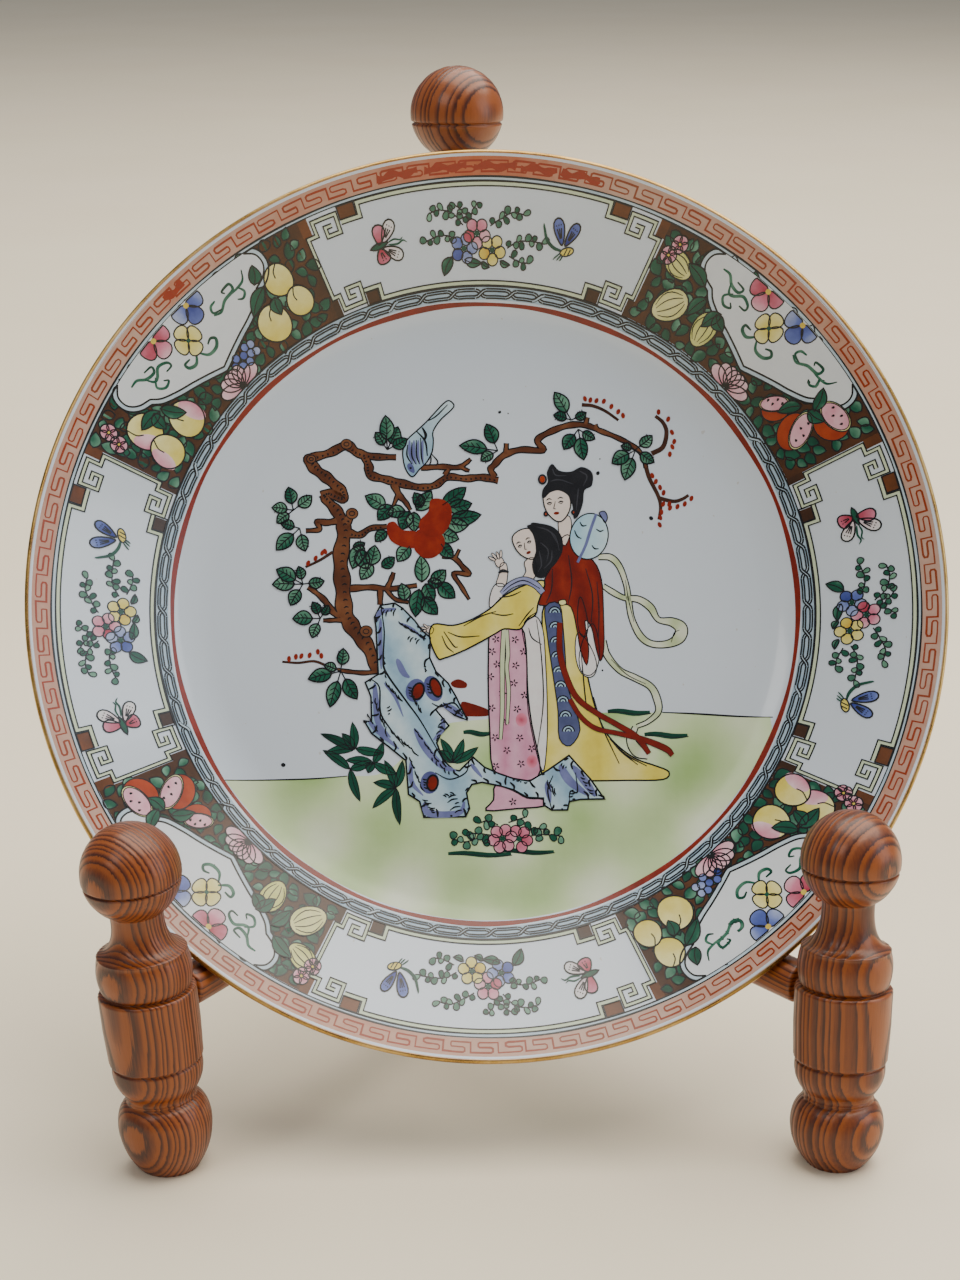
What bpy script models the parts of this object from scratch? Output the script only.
"""Decorated plate displayed on a turned wooden stand.

Metres, +Z up, viewer on the -Y side. Two short front posts, a tall rear post and two
stretchers make the stand; the plate rests on the stretchers and leans on the rear post.
"""
import bmesh
import bpy
from math import cos, degrees, pi, radians, sin, tan
from mathutils import Matrix, Vector

MM = 0.001
NAME = "souvenir_plate_on_stand"

# Where the middle of the front posts' feet stands, so the whole object is centred on the origin.
OFFSET = (0.3, -66.72, 0.0)

# Posts, in millimetres: foot point on the table, direction of the turned axis, and the heights
# along it of the foot bulb, the drum's two rims, the ball and the stretchers' sockets.
LEFT = dict(base=(-90.6, 0.0), axis=(-0.0857, 0.0219, 0.9961), foot=13.2, low=32.3, top=52.6, ball=86.6,
            rail=46.8)
RIGHT = dict(base=(92.2, -5.8), axis=(0.0278, 0.1243, 0.9919), foot=10.8, low=29.6, top=50.1, ball=85.8,
             rail=45.4)
REAR = dict(base=(-6.7, 124.0), axis=(0.0, 0.0483, 0.9988), foot=12.0, low=31.0, top=51.5, ball=268.6,
            rail=45.6)

BALL_R = 13.6
GROOVE_DEPTH, GROOVE_DROP = 1.1, 2.6
REAR_BALL_R = 13.75
FOOT_R = 12.9
DRUM_TOP_R, DRUM_MID_R, DRUM_LOW_R = 13.4, 13.35, 12.9
COLLAR_R = 13.0
NECK_R = 7.2
WAIST_R = 9.6
SHAFT_R, SHAFT_BELLY_R = 7.9, 10.8
POST_STEPS = 28
GROUND_BLOCK = 40.0

# Stretchers
RAIL_R, TENON_R, SOCKET_R = 5.9, 3.6, 3.9
SHOULDER_GAP = 1.3
FRONT_SOCKET_END, REAR_SOCKET_END = 4.2, 7.5
TENON_END_GAP = 0.4
DRILL_REACH = 30.0
RAIL_STEPS = 24

# Plate
PLATE_R = 130.0
PLATE_CENTRE = (-0.3, 58.95, 143.9)
PLATE_LEAN = radians(26.24)
WELL_DEPTH = 29.5
WELL_FLAT_R = 79.3
COVE_R = 21.0
BORDER_SLOPE = radians(34.8)
WALL = 3.3
LIP_THINNING = 0.5
FOOT_RING_R, FOOT_RING_W, FOOT_RING_H = 68.0, 3.6, 4.0
PLATE_STEPS = 80


def clear_scene():
    for obj in list(bpy.data.objects):
        bpy.data.objects.remove(obj, do_unlink=True)


def new_collection(name):
    col = bpy.data.collections.new(name)
    bpy.context.scene.collection.children.link(col)
    return col


def material(name, colour, rough):
    mat = bpy.data.materials.new(name)
    mat.use_nodes = True
    bsdf = mat.node_tree.nodes["Principled BSDF"]
    bsdf.inputs["Base Color"].default_value = (*colour, 1.0)
    bsdf.inputs["Roughness"].default_value = rough
    return mat


def arc(centre, radius, start, end, n):
    """Points on a circle in the (r, z) half plane, angles in degrees from the outward direction."""
    return [(centre[0] + radius * cos(radians(start + (end - start) * i / n)),
             centre[1] + radius * sin(radians(start + (end - start) * i / n))) for i in range(n + 1)]


def bend(a, b, c, n):
    """Quadratic curve from a to c pulled towards b, without its first point."""
    out = []
    for i in range(1, n + 1):
        t = i / n
        out.append(tuple((1 - t) ** 2 * a[k] + 2 * t * (1 - t) * b[k] + t * t * c[k] for k in (0, 1)))
    return out


def ball_points(z, radius):
    """Ball finial from its pole, round the V groove under the equator, to the neck."""
    upper = arc((0, z), radius, 90, -8.5, 11)
    groove = [(radius - GROOVE_DEPTH, z - GROOVE_DROP)]
    lower = arc((0, z), radius, -13.0, -57.5, 5)
    return [(0.0, z + radius)] + upper[1:] + groove + lower


def lower_points(p):
    """Collar, drum, ogee, waist and bulbous foot, from the collar's upper edge down."""
    top, low, foot = p["top"], p["low"], p["foot"]
    waist = foot + 7.7
    pts = [(12.15, top + 11.2)]
    pts += [(COLLAR_R - 0.033 * (h - 5.9) ** 2, top + h) for h in (9.2, 7.0, 4.8, 2.8, 1.2)]
    pts += [(11.6, top + 0.45), (DRUM_TOP_R - 0.15, top + 0.1), (DRUM_TOP_R, top - 0.5)]
    pts += [(DRUM_MID_R, (top + low) / 2), (DRUM_LOW_R, low + 0.5), (DRUM_LOW_R - 0.2, low)]
    pts += [(11.9, low - 0.45), (12.4, low - 0.9)]
    pts += bend((12.4, low - 0.9), (12.9, low - 5.2), (WAIST_R + 0.5, waist + 2.2), 4)
    pts += [(WAIST_R, waist + 0.8), (WAIST_R + 0.35, waist + 0.2), (WAIST_R, waist - 0.4)]
    pts += bend((WAIST_R, waist - 0.4), (12.6, waist - 1.8), (FOOT_R, foot), 4)
    pts += bend((FOOT_R, foot), (FOOT_R - 0.2, foot * 0.42), (8.3, 0.0), 4)
    pts += [(6.9, -2.2), (0.0, -2.2)]
    return pts


def short_post_points(p):
    z, top = p["ball"], p["top"]
    pts = ball_points(z, BALL_R) + [(NECK_R, z - 12.4), (NECK_R, z - 14.2)]
    pts += bend((NECK_R, z - 14.2), (NECK_R + 0.3, top + 13.0), (11.75, top + 11.6), 5)
    return pts + lower_points(p)


def tall_post_points(p):
    z, top = p["ball"], p["top"]
    pts = ball_points(z, REAR_BALL_R) + [(NECK_R, z - 12.6), (NECK_R, z - 14.2)]
    pts += bend((NECK_R, z - 14.2), (NECK_R + 0.2, z - 20.6), (9.9, z - 21.6), 4)
    pts += [(10.3, z - 22.2), (10.7, z - 24.2), (10.3, z - 26.2), (9.2, z - 27.0), (8.9, z - 27.8)]
    pts += bend((8.9, z - 27.8), (SHAFT_R, z - 29.5), (SHAFT_R, z - 36.0), 3)
    pts += bend((SHAFT_R, z - 82.0), (SHAFT_BELLY_R + 1.6, z - 142.0), (8.4, top + 22.0), 8)
    pts += bend((8.4, top + 22.0), (8.2, top + 12.8), (11.75, top + 11.6), 4)
    return pts + lower_points(p)


def turned(name, pts, steps, col):
    """Solid of revolution from a profile that runs down the outer side from pole to pole."""
    mesh = bpy.data.meshes.new(name)
    verts = [(r * MM, 0.0, z * MM) for r, z in pts]
    mesh.from_pydata(verts, [(i, i + 1) for i in range(len(verts) - 1)], [])
    obj = bpy.data.objects.new(name, mesh)
    col.objects.link(obj)
    mod = obj.modifiers.new("turn", "SCREW")
    mod.axis, mod.angle, mod.screw_offset = "Z", 2 * pi, 0.0
    mod.steps = mod.render_steps = steps
    mod.use_merge_vertices, mod.merge_threshold = True, 0.00002
    mod.use_smooth_shade = True
    return obj


def stand_at(obj, base, axis):
    """Put an object's +Z along axis with its origin at base (millimetres)."""
    rot = Vector((0, 0, 1)).rotation_difference(Vector(axis).normalized()).to_matrix().to_4x4()
    obj.matrix_world = Matrix.Translation(world(base)) @ rot


def world(p):
    return Vector([(p[k] + OFFSET[k]) * MM for k in range(3)])


def cut(obj, cutter):
    mod = obj.modifiers.new("cut_" + cutter.name, "BOOLEAN")
    mod.operation, mod.solver, mod.object = "DIFFERENCE", "EXACT", cutter
    cutter.display_type, cutter.hide_render = "WIRE", True


def primitive(name, col, make):
    """Mesh object from a bmesh primitive."""
    bm = bmesh.new()
    make(bm)
    mesh = bpy.data.meshes.new(name)
    bm.to_mesh(mesh)
    bm.free()
    obj = bpy.data.objects.new(name, mesh)
    col.objects.link(obj)
    return obj


def socket_cutter(name, start, end, col):
    """Drill for a tenon: a plain cylinder between two points (millimetres)."""
    a, b = Vector(start), Vector(end)
    radius, depth = SOCKET_R * MM, (b - a).length * MM
    lift = Matrix.Translation((0, 0, depth / 2))
    obj = primitive(name, col, lambda bm: bmesh.ops.create_cone(
        bm, cap_ends=True, segments=RAIL_STEPS, radius1=radius, radius2=radius, depth=depth, matrix=lift))
    stand_at(obj, start, b - a)
    return obj


def ground_cutter(name, base, col):
    """Block just under the table plane that trims a leaning foot flat."""
    size = GROUND_BLOCK * MM
    obj = primitive(name, col, lambda bm: bmesh.ops.create_cube(bm, size=size))
    obj.location = world((*base, -GROUND_BLOCK / 2))
    return obj


def on_axis(p, h):
    a = Vector(p["axis"]).normalized()
    return Vector((*p["base"], 0.0)) + a * h


def make_post(name, p, pts, parts, cutters):
    post = turned(name, pts, POST_STEPS, parts)
    stand_at(post, (*p["base"], 0.0), p["axis"])
    cut(post, ground_cutter(name + "_ground", p["base"], cutters))
    return post


def make_stretcher(name, front, front_post, rear_post, parts, cutters):
    """Round rail with rounded shoulders and a tenon at each end, and the sockets it fills."""
    a, b = on_axis(front, front["rail"]), on_axis(REAR, REAR["rail"])
    d = (b - a).normalized()
    length = (b - a).length
    s0, s1 = DRUM_TOP_R + SHOULDER_GAP, length - DRUM_TOP_R - SHOULDER_GAP
    t0, t1 = FRONT_SOCKET_END + TENON_END_GAP, length - REAR_SOCKET_END - TENON_END_GAP
    pts = [(0.0, t1), (TENON_R - 0.4, t1), (TENON_R, t1 - 0.6), (TENON_R, s1)]
    pts += [(r, s1 - z) for r, z in arc((RAIL_R - 1.3, 1.3), 1.3, -90, 0, 4)]
    pts += [(r, s0 + z) for r, z in arc((RAIL_R - 1.3, 1.3), 1.3, 0, -90, 4)]
    pts += [(TENON_R, s0), (TENON_R, t0 + 0.6), (TENON_R - 0.4, t0), (0.0, t0)]
    rail = turned(name, pts, RAIL_STEPS, parts)
    stand_at(rail, a, d)
    drills = ((front_post, "_front", a, d, FRONT_SOCKET_END), (rear_post, "_rear", b, -d, REAR_SOCKET_END))
    for post, end, centre, way, depth in drills:
        cut(post, socket_cutter(name + end, centre + way * depth, centre + way * DRILL_REACH, cutters))
    return rail


def plate_face():
    """Painted face from the centre out to the lip: flat well, cove and straight sloping border."""
    centre = (WELL_FLAT_R, COVE_R - WELL_DEPTH)
    cove = arc(centre, COVE_R, -90, -90 + degrees(BORDER_SLOPE), 6)
    start, end_r = cove[-1], PLATE_R - 2.6
    border = [(start[0] + (end_r - start[0]) * t, start[1] + (end_r - start[0]) * t * tan(BORDER_SLOPE))
              for t in (0.25, 0.5, 0.75, 1.0)]
    return [(0.0, -WELL_DEPTH)] + cove + border


def plate_back():
    """Underside from the lip in to the centre: the face's shape one wall lower, and the foot ring."""
    centre = (WELL_FLAT_R, COVE_R - WELL_DEPTH)
    cove = arc(centre, COVE_R + WALL, -90 + degrees(BORDER_SLOPE), -90, 4)
    knee, run = cove[0], PLATE_R - 3.0 - cove[0][0]
    border = [(knee[0] + run * t, knee[1] + run * t * (tan(BORDER_SLOPE) + LIP_THINNING * t / run))
              for t in (1.0, 0.7, 0.4, 0.15)]
    floor_z = -WELL_DEPTH - WALL
    inner, outer, tip = FOOT_RING_R, FOOT_RING_R + FOOT_RING_W, floor_z - FOOT_RING_H
    ring = [(outer + 3.0, floor_z), (outer + 0.6, floor_z - 0.8), (outer, tip + 0.6), (outer - 0.8, tip)]
    ring += [(inner + 0.8, tip), (inner, tip + 0.6), (inner - 0.8, floor_z - 0.6)]
    ring += [(inner - 3.2, floor_z + 0.2)]
    return border + cove[:-1] + ring + [(0.0, floor_z + 0.2)]


def plate_points():
    """Face, rounded lip and underside as one profile running from pole to pole."""
    face = plate_face()
    lip_z = face[-1][1] + 1.0
    lip = [(PLATE_R - 1.5, lip_z), (PLATE_R - 0.5, lip_z - 0.1), (PLATE_R, lip_z - 0.8)]
    lip += [(PLATE_R - 0.2, lip_z - 1.7)]
    return face + lip + plate_back()


def make_plate(parts):
    """Plate facing the viewer, leaning back by PLATE_LEAN about its rim plane's centre."""
    plate = turned("plate", plate_points(), PLATE_STEPS, parts)
    normal = (0.0, -cos(PLATE_LEAN), sin(PLATE_LEAN))
    stand_at(plate, PLATE_CENTRE, normal)
    return plate


def build():
    clear_scene()
    parts, cutters = new_collection(NAME), new_collection("cutters")
    left = make_post("front_post_left", LEFT, short_post_points(LEFT), parts, cutters)
    right = make_post("front_post_right", RIGHT, short_post_points(RIGHT), parts, cutters)
    rear = make_post("rear_post", REAR, tall_post_points(REAR), parts, cutters)
    rail_l = make_stretcher("stretcher_left", LEFT, left, rear, parts, cutters)
    rail_r = make_stretcher("stretcher_right", RIGHT, right, rear, parts, cutters)
    plate = make_plate(parts)
    pine = (0.42, 0.17, 0.06)
    for obj in (left, right, rear, rail_l, rail_r):
        obj.data.materials.append(material(obj.name + "_pine", pine, 0.35))
    plate.data.materials.append(material("plate_porcelain", (0.82, 0.84, 0.86), 0.08))
    cutters.hide_render = True


build()
